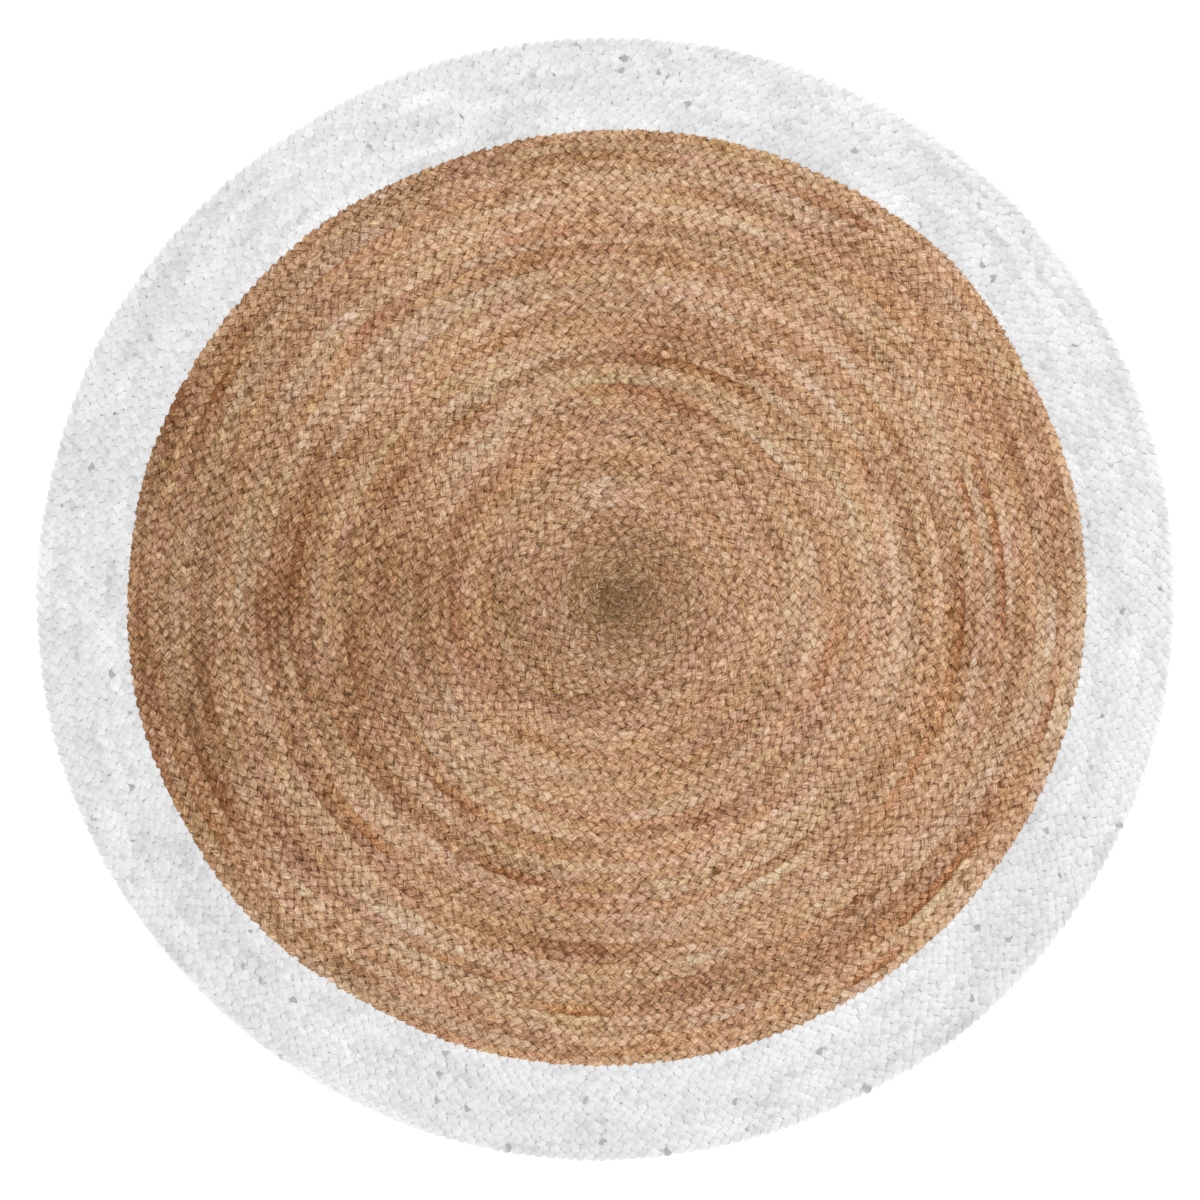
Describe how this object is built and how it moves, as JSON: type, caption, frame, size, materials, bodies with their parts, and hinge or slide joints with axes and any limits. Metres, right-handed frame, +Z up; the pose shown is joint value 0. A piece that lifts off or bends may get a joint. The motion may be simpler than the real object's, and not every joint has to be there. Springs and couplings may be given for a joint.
{
  "type": "round braided rug",
  "caption": "Flat round area rug: a plaited jute cord coiled from the middle and sewn turn to turn, with a wide border of white plaited cord.",
  "frame": {"origin": "middle of the underside of the rug, on the floor", "axes": "+Z up out of the top face; +X to the right of the rug as pictured from straight above, +Y to the top"},
  "size_m": [1.5082, 1.4874, 0.009],
  "materials": {
    "natural_jute": "plaited natural jute, matt, golden tan to brown",
    "white_yarn": "plaited bleached white yarn, matt",
    "natural_thread": "natural sewing thread",
    "white_thread": "white sewing thread"
  },
  "bodies": {
    "root": {"natural_braid": "natural_jute", "white_braid": "white_yarn", "field_seam_thread": "natural_thread", "border_seam_thread": "white_thread", "centre_stitches": "natural_thread", "splice_stitches": "natural_thread", "tail_stitches": "white_thread"}
  },
  "joints": []
}
